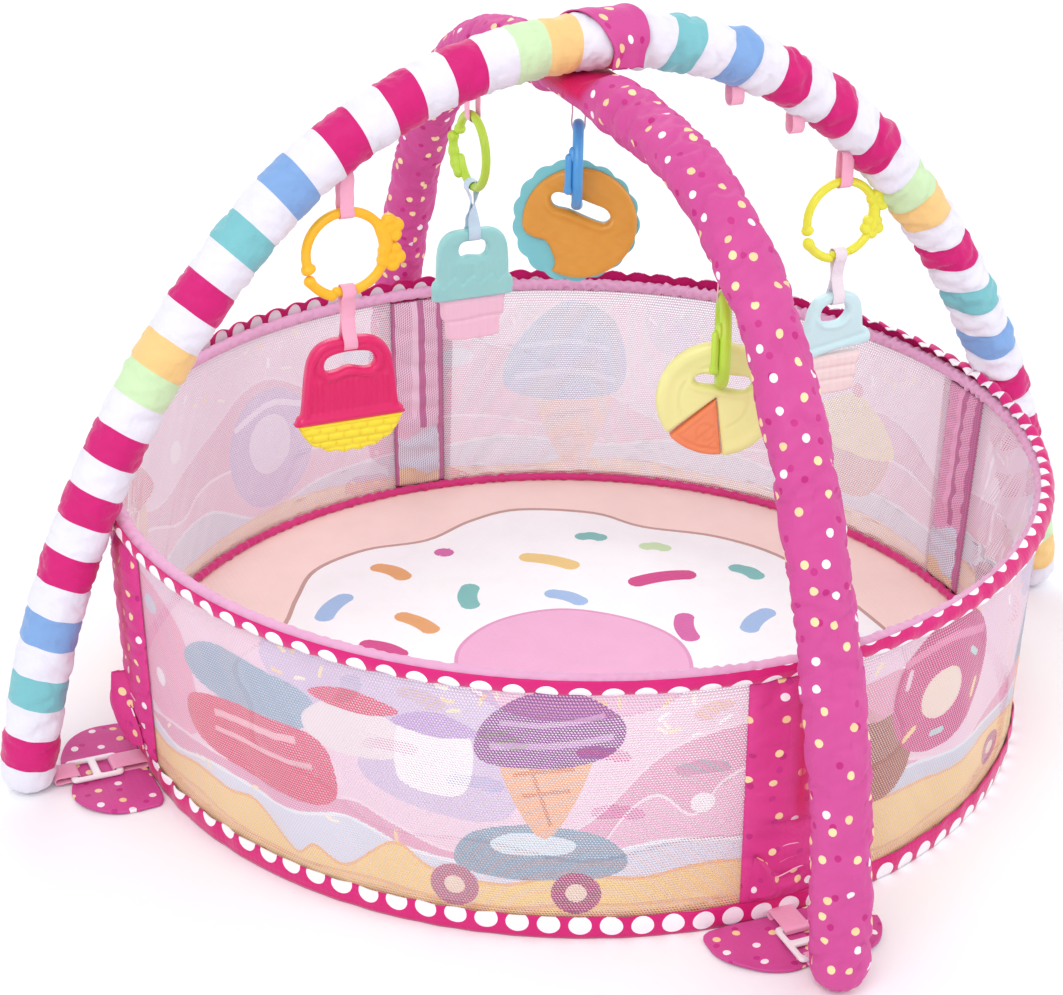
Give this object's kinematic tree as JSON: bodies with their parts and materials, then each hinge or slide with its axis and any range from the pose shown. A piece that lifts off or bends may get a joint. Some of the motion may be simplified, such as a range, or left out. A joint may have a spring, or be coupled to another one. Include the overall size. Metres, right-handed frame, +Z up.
{
  "type": "activity play gym",
  "caption": "Round padded baby play mat with a fold-down mesh wall, two crossed padded arches and hanging teether toys.",
  "frame": {"origin": "middle of the mat on the floor", "axes": "+X along the striped arch towards its right foot, +Y along the dotted arch towards its back foot, +Z up"},
  "size_m": [1.1384, 1.1198, 0.6705],
  "materials": {
    "mat_print": "printed plush cotton",
    "foam": "soft foam",
    "mat_underside": "plain woven",
    "magenta_piping": "satin piping",
    "spotted_trim": "satin with white spots",
    "printed_mesh": "printed open mesh",
    "dotted_fabric": "satin with small dots",
    "striped_fabric": "satin in stripes",
    "white_plastic": "moulded",
    "pink_webbing": "ribbed webbing",
    "fibreglass": "pultruded rod",
    "rim_fabric": "satin tube",
    "steel": "drawn tube",
    "pink_ribbon": "satin ribbon",
    "pale_ribbon": "satin ribbon",
    "blue_ribbon": "satin ribbon",
    "orange_toy": "moulded",
    "magenta_toy": "moulded",
    "yellow_toy": "moulded",
    "lime_toy": "moulded, slightly clear",
    "teal_toy": "moulded",
    "pink_toy": "moulded",
    "blue_toy": "moulded, slightly clear",
    "brown_toy": "moulded",
    "pale_yellow_toy": "moulded",
    "coral_toy": "moulded",
    "lemon_toy": "moulded",
    "pale_blue_toy": "moulded",
    "pale_pink_toy": "moulded"
  },
  "bodies": {
    "mat": {"mat_top_cover": "mat_print", "mat_foam": "foam", "mat_base_cover": "mat_underside", "floor_piping": "magenta_piping", "bottom_trim": "spotted_trim", "mesh_left": "printed_mesh", "mesh_right": "printed_mesh", "mesh_back_right": "printed_mesh", "mesh_back_left": "printed_mesh", "post_left": "dotted_fabric", "post_front": "dotted_fabric", "post_right": "dotted_fabric", "post_back": "dotted_fabric", "post_pads": "foam", "tie_straps": "dotted_fabric", "flap_left": "dotted_fabric", "flap_front": "dotted_fabric", "flap_right": "dotted_fabric", "flap_back": "dotted_fabric", "foot_buckles": "white_plastic", "mat_webbing": "pink_webbing", "foot_webbing": "pink_webbing", "striped_sleeve": "striped_fabric", "striped_foam": "foam", "striped_rod_left": "fibreglass", "striped_rod_right": "fibreglass", "striped_ferrule": "steel", "dotted_sleeve": "dotted_fabric", "dotted_foam_front": "foam", "dotted_foam_back": "foam", "crossing_pad": "foam", "dotted_rod_front": "fibreglass", "dotted_rod_back": "fibreglass", "dotted_ferrule": "steel", "crossing_loop": "dotted_fabric", "rod_caps": "white_plastic", "striped_loops": "pink_ribbon", "dotted_loops": "pink_ribbon"},
    "hoop": {"hoop_wire": "fibreglass", "hoop_sleeve": "rim_fabric", "rim_band": "spotted_trim"},
    "orange_ring_body": {"orange_ring": "orange_toy"},
    "muffin_toy": {"muffin_ribbon": "pink_ribbon", "muffin_top": "magenta_toy", "muffin_cup": "yellow_toy"},
    "lime_ring_body": {"lime_ring": "lime_toy"},
    "cupcake_toy": {"twisted_ribbon": "blue_ribbon", "cupcake_top": "teal_toy", "cupcake_cup": "pink_toy"},
    "blue_link_body": {"blue_link": "blue_toy"},
    "doughnut_toy": {"doughnut_back": "teal_toy", "doughnut_front": "brown_toy"},
    "lime_link_body": {"lime_link": "lime_toy"},
    "wedge_toy": {"yellow_doughnut": "pale_yellow_toy", "orange_wedge": "coral_toy"},
    "lemon_ring_body": {"lemon_ring": "lemon_toy"},
    "cone_toy": {"cone_ribbon": "pale_ribbon", "cone_top": "pale_blue_toy", "cone_cup": "pale_pink_toy"}
  },
  "joints": [
    {"name": "wall_collapse", "type": "slide", "parent": "mat", "child": "hoop", "axis": [0, 0, 1], "range_m": [-0.22, 0], "deforming": ["mesh_left", "mesh_right", "mesh_back_right", "mesh_back_left", "post_left", "post_front", "post_right", "post_back", "post_pads", "tie_straps"]},
    {"name": "orange_ring_swing", "type": "hinge", "parent": "mat", "child": "orange_ring_body", "pos_m": [-0.226, 0, 0.5138], "axis": [1, 0, 0], "range_deg": [-35, 35]},
    {"name": "muffin_swing", "type": "hinge", "parent": "orange_ring_body", "child": "muffin_toy", "pos_m": [-0.226, 0, 0.4402], "axis": [1, 0, 0], "range_deg": [-30, 30]},
    {"name": "lime_ring_swing", "type": "hinge", "parent": "mat", "child": "lime_ring_body", "pos_m": [0, 0.27, 0.4998], "axis": [0, 1, 0], "range_deg": [-35, 35]},
    {"name": "cupcake_swing", "type": "hinge", "parent": "lime_ring_body", "child": "cupcake_toy", "pos_m": [0, 0.27, 0.4262], "axis": [0, 1, 0], "range_deg": [-30, 30]},
    {"name": "blue_link_swing", "type": "hinge", "parent": "mat", "child": "blue_link_body", "pos_m": [-0.006, 0, 0.5688], "axis": [0.4147, 0.91, 0], "range_deg": [-35, 35]},
    {"name": "doughnut_swing", "type": "hinge", "parent": "blue_link_body", "child": "doughnut_toy", "pos_m": [-0.006, 0, 0.4952], "axis": [0.4147, 0.91, 0], "range_deg": [-30, 30]},
    {"name": "lime_link_swing", "type": "hinge", "parent": "mat", "child": "lime_link_body", "pos_m": [0, -0.28, 0.5058], "axis": [0.4147, 0.91, 0], "range_deg": [-35, 35]},
    {"name": "wedge_swing", "type": "hinge", "parent": "lime_link_body", "child": "wedge_toy", "pos_m": [0, -0.28, 0.4322], "axis": [0.4147, 0.91, 0], "range_deg": [-30, 30]},
    {"name": "lemon_ring_swing", "type": "hinge", "parent": "mat", "child": "lemon_ring_body", "pos_m": [0.272, 0, 0.4838], "axis": [1, 0, 0], "range_deg": [-35, 35]},
    {"name": "cone_swing", "type": "hinge", "parent": "lemon_ring_body", "child": "cone_toy", "pos_m": [0.272, 0, 0.4102], "axis": [1, 0, 0], "range_deg": [-30, 30]}
  ]
}
